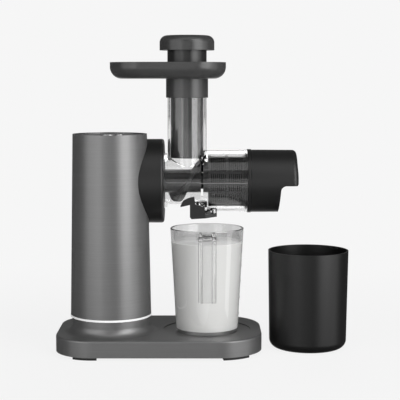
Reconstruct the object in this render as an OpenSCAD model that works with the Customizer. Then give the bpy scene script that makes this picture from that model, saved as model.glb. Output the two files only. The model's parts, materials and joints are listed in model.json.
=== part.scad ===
// Cold press juicer with a horizontal auger, its juice jug and its pulp cup.
// +Z is up and -Y is the front. The origin is on the table, under the middle of the whole set.

/* [Base] */
// Length of the base from left to right
base_len = 243.3; // [236:0.1:262]
// Depth of the base from front to back
base_depth = 150; // [144:1:164]
// Height of the base's top face above the table
base_top = 22.7; // [20:0.1:27]
// Plan radius of the two left corners
corner_left = 46; // [38:1:55]
// Plan radius of the two right corners
corner_right = 53; // [38:1:60]
// Rounding along the base's top edge
base_edge = 2; // [1:0.1:4]
// Wall of the base cover
base_wall = 2.5; // [2:0.1:3.5]
// Thickness of the plate that closes the base from below
plate_t = 2.5; // [2:0.1:4]
// Height of the rubber feet
foot_h = 3; // [2:0.1:5]
// Width of the rubber feet, which curve along the base's corners
foot_w = 9; // [6:0.5:14]
// Distance of the feet from the base's edge
foot_inset = 1.5; // [1:0.1:3]
// Angle that each foot spans
foot_span = 38; // [25:1:50]
// Turn of the left feet's middle, from the side of the base towards its end
foot_turn_left = 12; // [10:1:45]
// Turn of the right feet's middle
foot_turn_right = 27; // [10:1:45]
// Diameter of the shallow seat that the jug stands in
seat_d = 104; // [92:1:108]
// Depth of that seat
seat_depth = 0.8; // [0.4:0.1:1.2]

/* [Tower] */
// Distance from the base's left end to the tower's axis
tower_in = 63.8; // [60:0.1:68]
// Distance of the tower's axis in front of the base's middle
tower_fwd = 11; // [4:0.5:16]
// Outer diameter of the tower at its foot
tower_d_foot = 95.8; // [94.6:0.1:99]
// Outer diameter of the tower at its top
tower_d_top = 87.6; // [86.6:0.1:92]
// Height of the tower's top above the drive axis
tower_over = 57.4; // [56:0.1:64]
// Wall of the tower shell
tower_wall = 2.5; // [2:0.1:3]
// Diameter of the neck under the tower
neck_d = 92.8; // [91:0.1:95]
// Height of the neck above the base's top face
neck_h = 18.4; // [15:0.1:24]
// Radius of the hollow that runs from the neck into the base's top face
flare_r = 9.6; // [6:0.1:12]
// Wall of the neck
neck_wall = 3; // [2.5:0.1:4]
// Height of the bright ring between neck and tower
ring_h = 2.4; // [1.5:0.1:5]
// Outer diameter of that ring
ring_d = 96.2; // [95.8:0.1:99]
// Depth of the top panel below the tower's rim
panel_drop = 1; // [0.5:0.1:2]
// Thickness of the top panel
panel_t = 3; // [2:0.1:4]
// Width of the tower's rim around the top panel
rim_w = 1.8; // [1.5:0.1:2.2]

/* [Buttons] */
// Diameter of the start button
start_d = 17; // [14:0.5:18]
// Distance of the start button to the left of the tower's axis
start_left = 2; // [1:0.5:6]
// Diameter of the reverse button, to the right of the start button
reverse_d = 8; // [7:0.1:10]
// Gap between the two buttons
button_gap = 1.7; // [1.6:0.1:4]
// Distance of both buttons in front of the tower's axis
button_fwd = 8; // [4:0.5:11]
// Height of a button above the top panel
button_proud = 0.8; // [0.3:0.1:1]
// Travel of a button
button_travel = 1.5; // [1:0.1:1.6]
// Diameter of the button springs' wire
spring_wire = 0.6; // [0.4:0.1:0.8]

/* [Drive line] */
// Height of the drive axis above the table
drive_h = 200; // [197:0.1:203]
// Distance of the drive axis behind the base's middle
drive_back = 10.5; // [8:0.1:13]
// Outer diameter of the drive hub
hub_d = 100.4; // [100:0.1:104]
// Distance from the tower's axis to the hub's front face
hub_reach = 63.4; // [62:0.1:70]
// Length of the drive hub
hub_len = 44; // [43:0.1:46]
// Wall of the drive hub
hub_wall = 3; // [2.5:0.1:3.2]
// Rounding of the hub's front edge
hub_edge = 3; // [1:0.1:5]
// Inner diameter of the hub's socket for the chamber
socket_d = 61; // [59:0.1:62]
// Depth of that socket
socket_depth = 10.7; // [10.5:0.1:11]
// Thickness of the socket's floor and side
socket_wall = 2.5; // [2:0.1:3]

/* [Gearbox] */
// Outer diameter of the gearbox housing
gearbox_d = 93; // [92:0.1:93.4]
// Thickness of the gearbox housing's side
gearbox_wall = 1.8; // [1.5:0.1:2]
// Thickness of the gearbox cover and of the housing's back
gearbox_plate = 3; // [2.5:0.1:3.5]
// Depth inside the gearbox
gearbox_depth = 18; // [17.6:0.1:20]
// Tooth size of the first gear pair
first_module = 0.8; // [0.75:0.05:0.85]
// Teeth of the motor pinion
motor_teeth = 14; // [13:1:15]
// Teeth of the reduction gear's wheel
wheel_teeth = 42; // [40:1:43]
// Tooth size of the second gear pair
second_module = 1; // [0.95:0.05:1.05]
// Teeth of the reduction gear's pinion
pinion_teeth = 14; // [14:1:15]
// Teeth of the output gear
output_teeth = 36; // [34:1:37]
// Height of the drive axis above the motor's axis
motor_drop = 30; // [28:0.1:31]
// Diameter of the output shaft
output_shaft_d = 12; // [10:0.5:13]
// Diameter of the axle that the reduction gear turns on
axle_d = 5; // [4:0.5:6]

/* [Motor] */
// Outer diameter of the motor can
motor_d = 52; // [46:1:53]
// Length of the motor can
motor_len = 48; // [42:1:49]
// Wall of the motor can
motor_wall = 1.8; // [1.5:0.1:2.5]
// Diameter of the rotor
rotor_d = 36; // [30:1:37]
// Diameter of the motor shaft
motor_shaft_d = 5; // [4:0.5:6]

/* [Chamber] */
// Outer diameter of the chamber's narrow section
narrow_d = 56; // [54.5:0.1:57.5]
// Length of the narrow section in front of the hub
narrow_len = 42.9; // [42:0.1:46]
// Length of the step between the sections
step_len = 8.4; // [6:0.1:10]
// Outer diameter of the chamber's wide section
wide_d = 73; // [72:0.1:74.4]
// Length of the wide section in front of the step
wide_len = 48; // [46:0.1:52]
// Wall of the chamber
chamber_wall = 2; // [1.6:0.1:2.4]
// Distance from the hub's face to the feed chute's axis
chute_in = 27.45; // [26:0.05:30]
// Outer diameter of the feed chute
chute_d = 46.7; // [45.6:0.1:47.4]
// Height of the chute's top above the drive axis
chute_h = 119.9; // [112:0.1:128]
// Wall of the feed chute
chute_wall = 2.35; // [2:0.05:2.5]
// Distance from the step's start to the outlet's axis
outlet_in = 1.9; // [1.5:0.1:3]
// Outer diameter of the juice outlet
outlet_d = 13; // [11:0.5:14]

/* [Auger and filter] */
// Outer diameter of the auger's core
core_d = 28; // [24:0.5:31]
// Distance along the auger of one turn of its flight
flight_pitch = 62; // [54:1:70]
// Thickness of the flight at its rim
flight_t = 5; // [4:0.5:6]
// Gap between the filter and the chamber's wall
filter_gap = 3.5; // [3.1:0.1:4.1]
// Distance across the flats of the auger's steel hexagon
hex_flats = 9.5; // [8.5:0.1:10]

/* [End cap] */
// How far the end cap's rim stands out from its side
cap_rim_out = 0.6; // [0.5:0.1:1.8]
// Length of the rim
cap_rim_len = 4.5; // [4:0.5:7]
// How far the cap's side stands out from the chamber's wide section
cap_out = 0.9; // [0.8:0.1:1.3]
// Length of the end cap
cap_len = 61.9; // [60:0.1:66]
// Wall of the end cap
cap_wall = 2.5; // [2:0.1:2.8]
// Length of the hood over the pulp outlet
hood_len = 23.1; // [21:0.1:25]
// Distance from the drive axis down to the hood's lower edge
hood_drop = 3.4; // [3:0.1:9]
// Radius of the hollow corner under the hood
hood_r = 6.5; // [4:0.5:12]
// Rounding of the end cap's outer edge
cap_edge = 5; // [3:0.5:8]
// How far the middle of the end face bulges
cap_bulge = 3.2; // [1:0.1:5]

/* [Hopper and pusher] */
// Length of the hopper's tray
tray_len = 137.3; // [130:0.1:144]
// Depth of the tray from front to back
tray_depth = 92.4; // [90:0.1:104]
// Distance from the chute's axis to the tray's right edge
tray_right = 46.15; // [45:0.05:52]
// Height of the tray
tray_h = 19.4; // [17:0.1:24]
// Plan radius of the tray's corners
tray_corner = 39; // [32:1:44]
// Rounding of the tray's lower edge
tray_edge = 14; // [10:0.5:15]
// Wall of the tray and its collar
tray_wall = 2; // [1.6:0.1:2.4]
// Length of the collar that sits over the chute
collar_len = 22.3; // [16:0.1:30]
// Outer diameter of the pusher's stem
stem_d = 39; // [36:0.1:40]
// Length of the stem below the tray's floor
stem_len = 96.5; // [80:0.1:98]
// Outer diameter of the pusher's neck
push_neck_d = 46.7; // [45:0.1:50]
// Height of the neck
push_neck_h = 31; // [27:0.1:40]
// Diameter of the pusher's cap
push_cap_d = 65; // [60:0.1:70]
// Height of the pusher's cap
push_cap_h = 17.5; // [16:0.1:22]
// Rounding of the cap's top edge
push_cap_edge = 8.5; // [5:0.5:10]

/* [Drip stop] */
// Distance of the drip stop's pin to the right of the outlet
pin_right = 14.4; // [14:0.1:16]
// Distance of the pin in front of the outlet
pin_fwd = 16.5; // [15:0.1:18]
// Diameter of the pin
pin_d = 3; // [2.5:0.1:3.4]
// Thickness of the drip stop at its right end
stop_t = 4; // [3.8:0.1:5.5]
// How much thicker it is at its left end
stop_slant = 1.8; // [1:0.1:4]
// Width of the disc that closes the outlet
stop_d = 27; // [24:0.5:28]
// Distance of the drip stop's front wall in front of the outlet
stop_fwd = 32.5; // [32:0.1:36]
// Width of that wall
stop_wall_w = 18.2; // [14:0.1:20]
// Height of the wall above the disc
stop_wall_h = 11.1; // [8:0.1:11.5]
// Thickness of the wall and its lever
stop_wall_t = 4; // [3:0.1:4.2]
// Reach of the lever to the left of the wall
lever_out = 11.1; // [7:0.1:14]
// Height of the lever above the disc
lever_h = 20.7; // [17:0.1:24]

/* [Jug] */
// Distance from the tower's axis to the jug's axis
jug_right = 114.6; // [112:0.1:118]
// Distance of the jug's axis in front of the base's middle
jug_fwd = 7; // [5:0.5:8]
// Diameter of the jug's rim
jug_rim_d = 87.4; // [84:0.1:90]
// Diameter of the jug's foot
jug_foot_d = 73.8; // [70:0.1:78]
// Height of the jug
jug_h = 123.8; // [116:0.1:127]
// Wall of the jug
jug_wall = 2.2; // [1.8:0.1:2.6]
// Thickness of the jug's bottom
jug_floor = 4; // [3:0.1:6]
// Width of the strap handle
handle_w = 20.6; // [16:0.1:26]
// Distance from the jug's axis to the front of the handle
handle_reach = 67; // [64:0.5:67.5]
// Length of the handle below the rim
handle_len = 80; // [60:1:95]
// Diameter of the handle's two round rails
rail_d = 5.2; // [4:0.1:6]
// Radius of the rails' bend, at their middle
rail_bend = 8; // [6:0.5:10]
// Thickness of the web between the rails
web_t = 2.4; // [1.8:0.1:3]

/* [Pulp cup] */
// Diameter of the pulp cup's rim
cup_d = 96; // [90:0.1:104]
// Diameter of the pulp cup at its foot, above the rounded corner
cup_foot_d = 92.6; // [88:0.1:96]
// Height of the pulp cup
cup_h = 117.5; // [100:0.1:130]
// Rounding of the pulp cup's bottom corner
cup_edge = 10; // [5:0.5:14]
// Wall of the pulp cup
cup_wall = 2; // [1.5:0.1:3]
// Gap between the base's right end and the pulp cup
cup_gap = 8.7; // [4:0.1:20]

/* [Hidden] */
$fn = 96;

// Clearances
run_gap = 0.05;   // radius, a shaft that turns in its bearing
slip_gap = 0.3;   // radius, plastic pieces that slide into each other
seam_gap = 0.1;   // between the hub and the tower that it meets
eps = 0.01;

// Places along X, from the base's left end to the cup
base_left = -(base_len + cup_gap + cup_d) / 2;
base_right = base_left + base_len;
tower_x = base_left + tower_in;
jug_x = tower_x + jug_right;
cup_x = base_right + cup_gap + cup_d / 2;
hub_face = tower_x + hub_reach;
hub_back = hub_face - hub_len;
socket_floor = hub_face - socket_depth;
chute_x = hub_face + chute_in;
step_start = hub_face + narrow_len;
step_end = step_start + step_len;
outlet_x = step_start + outlet_in;
wide_end = step_end + wide_len;
cap_end = wide_end + cap_len;

// Places along Y
tower_y = -tower_fwd;
jug_y = -jug_fwd;
drive_y = drive_back;

// Heights
plate_top = foot_h + plate_t;
neck_top = base_top + neck_h;
tower_foot = neck_top + ring_h;
tower_top = drive_h + tower_over;
tower_h = tower_top - tower_foot;
panel_top = tower_top - panel_drop;
panel_bottom = panel_top - panel_t;
shelf_t = 3.4;
shelf_bottom = panel_bottom - shelf_t;
jug_foot = base_top - seat_depth;
chute_top = drive_h + chute_h;
tray_floor_t = 2.6;
tray_bottom = chute_top + tray_wall;
tray_floor = tray_bottom + tray_floor_t;
push_neck_top = tray_floor + push_neck_h;

// Gearbox and motor, along X
cover_front = socket_floor - socket_wall;
cover_back = cover_front - gearbox_plate;
pot_floor = cover_back - gearbox_depth;
pot_back = pot_floor - gearbox_plate;
motor_front = pot_back - 3;
motor_back = motor_front - motor_len;
bell_len = 8;
bell_back = motor_back - bell_len;
wheel_t = 6;
wheel_x = pot_floor + 1.5;
output_gear_x = wheel_x + wheel_t + 1.5;
output_gear_t = 6.4;
motor_pinion_t = 7;

// Gear axes, as [Y, Z]
output_axis = [drive_y, drive_h];
motor_axis = [tower_y, drive_h - motor_drop];
first_distance = first_module * (motor_teeth + wheel_teeth) / 2;
second_distance = second_module * (pinion_teeth + output_teeth) / 2;
axis_gap = motor_axis - output_axis;
axis_distance = norm(axis_gap);
along_gap = (second_distance ^ 2 - first_distance ^ 2 + axis_distance ^ 2) / (2 * axis_distance);
beside_gap = sqrt(second_distance ^ 2 - along_gap ^ 2);
gap_dir = axis_gap / axis_distance;
axle_axis = output_axis + along_gap * gap_dir + beside_gap * [-gap_dir[1], gap_dir[0]];
first_angle = atan2(axle_axis[1] - motor_axis[1], axle_axis[0] - motor_axis[0]);
second_angle = atan2(output_axis[1] - axle_axis[1], output_axis[0] - axle_axis[0]);

// Bearings and screws
bearing_r = 10;
bearing_len = 5;
motor_bearing_r = 6;
boss_wall = 2.5;
shaft_seal_r = 12;
shaft_back = pot_floor - bearing_len + 0.3;
shaft_end = socket_floor + 0.2;
stem_r = 3.5;
stem_in = 12;
coupling_r = 9;
coupling_len = 6.7;
gearbox_screw_r = 40.5;
gearbox_screw_angles = [20, 90, 160, 320];
screw_r = 1.5;
screw_head_r = 2.8;
screw_head_h = 2;
screw_len = 11;
screw_boss_r = 4;
base_screw_in = 16;
base_screw_side = 25;
middle_screw_in = 13;
base_screw_places = [
    for (side = [-1, 1]) [base_left + base_screw_in, side * base_screw_side],
    for (side = [-1, 1]) [(base_left + base_right) / 2, side * (base_depth / 2 - middle_screw_in)],
    for (side = [-1, 1]) [base_right - base_screw_in, side * base_screw_side]
];

// Cord gland
gland_r = 6;
gland_bore_r = 3.2;
gland_z = tower_foot + 20;
gland_wall_y = tower_y + tower_d_foot / 2 - tower_wall;

// Boards
board_t = 1.6;
board_z = shelf_bottom - 7;
board_top = board_z + board_t;
board_r = tower_d_top / 2 - tower_wall - 1;
board_right = 21;
post_at = board_r - 2;
switch_h = 4.7;
button_flange = 0.6;
start_x = tower_x - start_left;
reverse_x = start_x + start_d / 2 + button_gap + reverse_d / 2;
button_flange_t = 1.6;
button_seat = panel_bottom - 0.3;
spring_top = button_seat - button_flange_t - run_gap;
spring_bottom = board_top + run_gap;
power_board_w = 60;
power_board_h = 76;
choke_w = 22;
choke_deep = 17;
choke_h = 26;
choke_z = 30;
capacitor_r = 7;
capacitor_len = 19;
capacitor_x = 14;
sink_w = 34;
sink_deep = 12;
sink_t = 4;
sink_z = 34;

// Chamber
narrow_bore = narrow_d / 2 - chamber_wall;
wide_bore = wide_d / 2 - chamber_wall - 0.2;
tail_r = socket_d / 2 - slip_gap;
tail_back = socket_floor + 0.7;
chamber_back = hub_face - 3.2;
back_t = 2;
chamber_seal_r = 10;
flange_r = narrow_d / 2 + 5;
flange_t = 3;
groove_in = 1.1;
groove_w = 2.7;
groove_deep = 3;
slot_h = narrow_d * 0.75;
neck_r = core_d * 0.35;
rib_back = 9.2;
rib_w = 1.2;
rib_out = 0.6;
lip_back = 3.8;
lip_w = 3.4;
cap_d = wide_d + 2 * cap_out;
cap_rim_d = cap_d + 2 * cap_rim_out;
lug_r = 3.7;
spigot_len = 7.5;
spigot_end = wide_end + spigot_len;
spigot_r = wide_d / 2 - 0.3;
cap_socket_r = spigot_r + slip_gap;
cap_draft = 0.3;
outlet_bottom = drive_h - wide_d / 2 - 0.1;

// Auger and filter
auger_journal_r = 6.5;
flight_shift = 13.35;
core_start = chamber_back + back_t + 0.5;
flight_start = core_start + 3.5;
flight_gap = 0.7;
filter_start = step_end + 1.5;
filter_end = wide_end - 2.5;
mesh_t = 0.6;
filter_ring_t = 1;
filter_ring_w = 3;
filter_bars = 8;
filter_d = 2 * (wide_bore - filter_gap);
mesh_r = filter_d / 2 - filter_ring_t;
collar_r = wide_bore - slip_gap;
core_end = wide_end - 2.5;
nose_x = spigot_end;
nose_r = 6;
spider_start = spigot_end + 7;
bush_len = 9;
bush_r = 9;
seal_gap = 0.2;

// Drip stop
pin_x = outlet_x + pin_right;
pin_y = drive_y - pin_fwd;
stop_top = outlet_bottom - slip_gap;
stop_left = outlet_x - stop_d / 2 - 0.3;
stop_right = pin_x + lug_r;
stop_front = drive_y - stop_fwd;
stop_seal_r = 8;
stop_seal_t = 1.5;
pin_head_r = pin_d / 2 + 1.3;
pin_head_t = 1.1;
pin_in = 4.5;

// ---------------------------------------------------------------- shared shapes

// A bar of radius r and height h whose top edge is rounded by e, as half a section.
module edge_section(r, h, e) {
    square([r, h - e]);
    square([r - e, h]);
    translate([r - e, h - e]) intersection() {
        circle(e);
        square(e);
    }
}

// A slab from x0 to x1 with corner radii r0 and r1 in plan and a rounded top edge.
module slab(x0, x1, depth, r0, r1, h, e) {
    for (side = [-1, 1]) {
        translate([x0 + r0, side * (depth / 2 - r0), 0]) rotate_extrude() edge_section(r0, h, e);
        translate([x1 - r1, side * (depth / 2 - r1), 0]) rotate_extrude() edge_section(r1, h, e);
    }
    translate([x0 + r0, 0, 0]) rotate([90, 0, 90]) linear_extrude(x1 - r1 - x0 - r0) {
        edge_section(depth / 2, h, e);
        mirror([1, 0]) edge_section(depth / 2, h, e);
    }
    translate([x0 + r0, depth / 2 - r0, 0]) rotate([90, 0, 0]) linear_extrude(depth - 2 * r0)
        mirror([1, 0]) edge_section(r0, h, e);
    translate([x1 - r1, depth / 2 - r1, 0]) rotate([90, 0, 0]) linear_extrude(depth - 2 * r1)
        edge_section(r1, h, e);
}

// The same plan with square edges.
module plan(x0, x1, depth, r0, r1) {
    for (side = [-1, 1]) {
        translate([x0 + r0, side * (depth / 2 - r0)]) circle(r0);
        translate([x1 - r1, side * (depth / 2 - r1)]) circle(r1);
    }
    translate([x0 + r0, -depth / 2]) square([x1 - r1 - x0 - r0, depth]);
    translate([x0, -depth / 2 + r0]) square([r0 + eps, depth - 2 * r0]);
    translate([x1 - r1 - eps, -depth / 2 + r1]) square([r1 + eps, depth - 2 * r1]);
}

// Puts a shape drawn around Z at an axis [Y, Z] that runs along X.
module on_axis(axis, x = 0) {
    translate([x, axis[0], axis[1]]) rotate([90, 0, 90]) children();
}

// Turns a profile of [radius, X] around the drive axis.
module turned() {
    on_axis(output_axis) rotate_extrude() children();
}

// A ring of [radius, X] section around the drive axis.
module x_ring(r_in, r_out, x0, x1) {
    turned() translate([r_in, x0]) square([r_out - r_in, x1 - x0]);
}

// A straight ring around Z.
module ring(r_in, r_out, h) {
    difference() {
        cylinder(h = h, r = r_out);
        translate([0, 0, -1]) cylinder(h = h + 2, r = r_in);
    }
}

function involute(a) = tan(a) * 180 / PI - a;

// Half the angle of a tooth at radius r.
function half_tooth(r, pitch_r, teeth) =
    let (base_r = pitch_r * cos(20))
    0.42 * 180 / teeth + involute(20) - involute(acos(min(1, base_r / max(r, base_r))));

// Outline of a spur gear, with a tooth on the first axis.
function gear_outline(teeth, m) =
    let (pitch_r = teeth * m / 2, root_r = pitch_r - 1.2 * m, tip_r = pitch_r + 0.9 * m, steps = 4)
    [for (t = [0:teeth - 1], side = [-1, 1], s = [0:steps])
        let (
            k = side < 0 ? s : steps - s,
            r = root_r + (tip_r - root_r) * k / steps,
            a = t * 360 / teeth + side * half_tooth(r, pitch_r, teeth)
        )
        r * [cos(a), sin(a)]];

module gear(teeth, m, thick, bore_r) {
    linear_extrude(thick) difference() {
        polygon(gear_outline(teeth, m));
        circle(bore_r);
    }
}

// Side faces and ends of a bar whose sections are rows of points.
function bar_faces(rows, n) = concat(
    [[for (i = [0:n - 1]) n - 1 - i]],
    [for (j = [0:rows - 2], i = [0:n - 1])
        [j * n + i, j * n + (i + 1) % n, (j + 1) * n + (i + 1) % n, (j + 1) * n + i]],
    [[for (i = [0:n - 1]) (rows - 1) * n + i]]);

// Small helical spring from z0 to z1.
module spring(mean_r, wire, z0, z1) {
    turns = 4.5;
    per_turn = 16;
    sides = 6;
    rows = turns * per_turn + 1;
    rise = (z1 - z0 - wire) / (rows - 1);
    points = [for (j = [0:rows - 1], i = [0:sides - 1])
        let (a = j * 360 / per_turn, b = i * 360 / sides, r = mean_r + wire / 2 * cos(b))
        [r * cos(a), r * sin(a), z0 + wire / 2 + j * rise + wire / 2 * sin(b)]];
    polyhedron(points, bar_faces(rows, sides), convexity = 10);
}

// ---------------------------------------------------------------- base and tower

module neck_outside() {
    translate([tower_x, tower_y, 0]) rotate_extrude() {
        square([neck_d / 2, neck_top]);
        difference() {
            translate([0, base_top - 1]) square([neck_d / 2 + flare_r, flare_r + 1]);
            translate([neck_d / 2 + flare_r, base_top + flare_r]) circle(flare_r);
        }
    }
}

module base_cover() {
    ceiling = base_top - base_wall;
    color("#58595b") difference() {
        union() {
            difference() {
                union() {
                    translate([0, 0, foot_h])
                        slab(base_left, base_right, base_depth, corner_left, corner_right,
                             base_top - foot_h, base_edge);
                    intersection() {
                        neck_outside();
                        translate([0, 0, foot_h]) linear_extrude(neck_top)
                            plan(base_left, base_right, base_depth, corner_left, corner_right);
                    }
                }
                translate([0, 0, foot_h - 1]) linear_extrude(ceiling - foot_h + 1)
                    plan(base_left + base_wall, base_right - base_wall, base_depth - 2 * base_wall,
                         corner_left - base_wall, corner_right - base_wall);
                translate([tower_x, tower_y, foot_h])
                    cylinder(h = neck_top - neck_wall - foot_h, r = neck_d / 2 - neck_wall);
            }
            for (p = base_screw_places)
                translate([p[0], p[1], plate_top])
                    cylinder(h = ceiling - plate_top + 0.5, r = screw_boss_r);
            translate([tower_x, tower_y, neck_top - 1])
                ring(ring_d / 2 - 6.4, ring_d / 2 - 4.1, ring_h + 5);
            for (side = [-1, 1])
                translate([tower_x + side * (power_board_w / 2 - 5) - 4, tower_y - 4, neck_top - 1])
                    cube([8, 8, 8]);
        }
        for (p = base_screw_places)
            translate([p[0], p[1], plate_top - 1]) cylinder(h = screw_len + 1, r = screw_r + run_gap);
        translate([jug_x, jug_y + 2, jug_foot]) cylinder(h = 5, r = seat_d / 2);
        translate([tower_x - power_board_w / 2 - run_gap, tower_y - board_t / 2 - run_gap, neck_top])
            cube([power_board_w + 2 * run_gap, board_t + 2 * run_gap, 10]);
        translate([tower_x, tower_y + 24, neck_top - 5]) cylinder(h = 10, r = 8);
    }
}

module base_plate() {
    inset = base_wall + slip_gap;
    color("#3a3b3d") difference() {
        translate([0, 0, foot_h]) linear_extrude(plate_t)
            plan(base_left + inset, base_right - inset, base_depth - 2 * inset,
                 corner_left - inset, corner_right - inset);
        for (p = base_screw_places) {
            translate([p[0], p[1], 0]) cylinder(h = plate_top + 1, r = screw_r + run_gap);
            translate([p[0], p[1], 0]) cylinder(h = foot_h + screw_head_h, r = screw_head_r + slip_gap);
        }
    }
}

// A curved foot under the corner of radius r, turned from the front towards the end.
module foot(r, turn) {
    reach = 2 * r;
    a = [turn - foot_span / 2, turn + foot_span / 2];
    linear_extrude(foot_h) intersection() {
        difference() {
            circle(r - foot_inset);
            circle(r - foot_inset - foot_w);
        }
        polygon([[0, 0], [reach * sin(a[0]), -reach * cos(a[0])], [reach * sin(a[1]), -reach * cos(a[1])]]);
    }
}

module rubber_feet() {
    color("#1c1c1e") for (side = [0, 1]) mirror([0, side, 0]) {
        translate([base_left + corner_left, corner_left - base_depth / 2, 0])
            foot(corner_left, -foot_turn_left);
        translate([base_right - corner_right, corner_right - base_depth / 2, 0])
            foot(corner_right, foot_turn_right);
    }
}

module base_screws() {
    color("#b9bcc0")
        for (p = base_screw_places)
            translate([p[0], p[1], foot_h]) {
                translate([0, 0, eps]) cylinder(h = screw_head_h - eps, r = screw_head_r);
                translate([0, 0, screw_head_h]) cylinder(h = screw_len, r = screw_r);
            }
}

module trim_ring() {
    color("#e4e5e7") translate([tower_x, tower_y, neck_top])
        ring(ring_d / 2 - 3.7, ring_d / 2, ring_h);
}

module tower_cone(grow) {
    translate([tower_x, tower_y, tower_foot])
        cylinder(h = tower_h, r1 = tower_d_foot / 2 + grow, r2 = tower_d_top / 2 + grow);
}

module tower_shell() {
    panel_r = tower_d_top / 2 - rim_w;
    color("#5d5e61") difference() {
        union() {
            difference() {
                tower_cone(0);
                translate([tower_x, tower_y, tower_foot - eps])
                    cylinder(h = shelf_bottom - tower_foot + eps,
                             r1 = tower_d_foot / 2 - tower_wall,
                             r2 = tower_d_top / 2 - tower_wall);
                translate([tower_x, tower_y, shelf_bottom - 1])
                    cylinder(h = 10, r = panel_r - 4);
                translate([tower_x, tower_y, panel_bottom]) cylinder(h = 10, r = panel_r);
            }
            for (a = [90, 180, 270])
                translate([tower_x + post_at * cos(a), tower_y + post_at * sin(a), board_top])
                    cylinder(h = shelf_bottom - board_top + 1, r = 3);
        }
        on_axis(output_axis, hub_back + hub_wall)
            cylinder(h = hub_len, r = hub_d / 2 - hub_wall);
        translate([tower_x, tower_y, gland_z]) rotate([-90, 0, 0])
            cylinder(h = tower_d_foot, r = gland_r + run_gap);
    }
}

module button_hole(x, d) {
    translate([x, tower_y - button_fwd, panel_bottom - 1])
        cylinder(h = panel_t + 2, r = d / 2 + 0.15);
}

module top_panel() {
    color("#1b1b1d") difference() {
        translate([tower_x, tower_y, panel_bottom])
            cylinder(h = panel_t, r = tower_d_top / 2 - rim_w - 0.1);
        button_hole(start_x, start_d);
        button_hole(reverse_x, reverse_d);
    }
}

module button(x, d, tone) {
    flange_z = button_seat - button_flange_t;
    stem_z = board_top + switch_h + button_travel + 0.1;
    color(tone) translate([x, tower_y - button_fwd, 0]) {
        translate([0, 0, flange_z]) cylinder(h = button_flange_t, r = d / 2 + button_flange);
        translate([0, 0, flange_z]) rotate_extrude()
            edge_section(d / 2, panel_top + button_proud - flange_z, 0.6);
        translate([0, 0, stem_z]) cylinder(h = flange_z - stem_z + eps, r = 2);
    }
}

module start_button() {
    button(start_x, start_d, "#c9cbce");
}

module reverse_button() {
    button(reverse_x, reverse_d, "#a4a6a9");
}

module button_spring(x, d) {
    color("#c8cacd") translate([x, tower_y - button_fwd, 0])
        spring(min(d / 2 + button_flange - spring_wire, 6.5), spring_wire, spring_bottom, spring_top);
}

module start_spring() {
    button_spring(start_x, start_d);
}

module reverse_spring() {
    button_spring(reverse_x, reverse_d);
}

module control_board() {
    color("#2f6b45") translate([tower_x, tower_y, board_z]) intersection() {
        cylinder(h = board_t, r = board_r);
        translate([-board_r - 1, -board_r - 1, -1]) cube([board_r + 1 + board_right, 2 * board_r + 2, 5]);
    }
}

module button_switches() {
    color("#303134")
        for (x = [start_x, reverse_x])
            translate([x, tower_y - button_fwd, board_top]) {
                translate([-2.5, -2.5, 0]) cube([5, 5, switch_h - 1]);
                cylinder(h = switch_h, r = 1.6);
            }
}

module power_board() {
    color("#3c7a50") translate([tower_x, tower_y, neck_top]) {
        translate([-power_board_w / 2, -board_t / 2, 0]) cube([power_board_w, board_t, power_board_h]);
        translate([-choke_w, board_t / 2 - eps, choke_z]) cube([choke_w, choke_deep, choke_h]);
        for (z = [3, 6] * capacitor_r)
            translate([capacitor_x, board_t / 2 - eps, z]) rotate([-90, 0, 0])
                cylinder(h = capacitor_len, r = capacitor_r);
        translate([-sink_w * 0.7, -board_t / 2 - sink_deep, sink_z])
            cube([sink_w, sink_deep + eps, sink_t]);
    }
}

module cord_gland() {
    color("#202022") translate([tower_x, 0, gland_z]) rotate([-90, 0, 0]) difference() {
        union() {
            translate([0, 0, gland_wall_y - 6]) cylinder(h = 12, r = gland_r);
            translate([0, 0, gland_wall_y - 5]) cylinder(h = 3, r = gland_r + 1.6);
            translate([0, 0, gland_wall_y + 3]) cylinder(h = 12, r1 = gland_r - 0.6, r2 = gland_r - 1.8);
        }
        translate([0, 0, gland_wall_y - 7]) cylinder(h = 30, r = gland_bore_r);
    }
}

// ---------------------------------------------------------------- drive

module drive_hub() {
    r = hub_d / 2;
    cup_r = socket_d / 2;
    color("#232427") difference() {
        turned() difference() {
            union() {
                difference() {
                    translate([0, hub_back]) edge_section(r, hub_len, hub_edge);
                    translate([0, hub_back + hub_wall]) square([r - hub_wall, hub_len - 2 * hub_wall]);
                }
                translate([0, cover_front]) square([cup_r + socket_wall - 1, hub_face - cover_front]);
            }
            translate([0, socket_floor]) square([cup_r, hub_len]);
            translate([0, hub_back - 1]) square([shaft_seal_r + run_gap, hub_len]);
        }
        tower_cone(seam_gap);
    }
}

module gearbox_housing() {
    r = gearbox_d / 2;
    color("#4a4c50") difference() {
        union() {
            on_axis(output_axis, pot_back) difference() {
                cylinder(h = cover_back - pot_back, r = r);
                translate([0, 0, gearbox_plate]) cylinder(h = gearbox_depth + 1, r = r - gearbox_wall);
            }
            on_axis(output_axis, pot_floor + run_gap - bearing_len)
                cylinder(h = bearing_len, r = bearing_r + boss_wall);
            on_axis(motor_axis, motor_front) cylinder(h = 4, r = 12);
            for (a = gearbox_screw_angles)
                on_axis(output_axis, pot_floor - 1)
                    translate([gearbox_screw_r * cos(a), gearbox_screw_r * sin(a), 0])
                        cylinder(h = gearbox_depth + 1, r = screw_boss_r - 0.6);
        }
        on_axis(output_axis, pot_back - 10) cylinder(h = 20, r = bearing_r + run_gap);
        on_axis(motor_axis, motor_front - 1)
            cylinder(h = 20, r = first_module * motor_teeth / 2 + first_module + 1);
        on_axis(axle_axis, pot_back - 1) cylinder(h = 10, r = axle_d / 2 + run_gap);
        for (a = gearbox_screw_angles)
            on_axis(output_axis, cover_back - screw_len - 1)
                translate([gearbox_screw_r * cos(a), gearbox_screw_r * sin(a), 0])
                    cylinder(h = screw_len + 9, r = screw_r + run_gap);
    }
}

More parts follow.
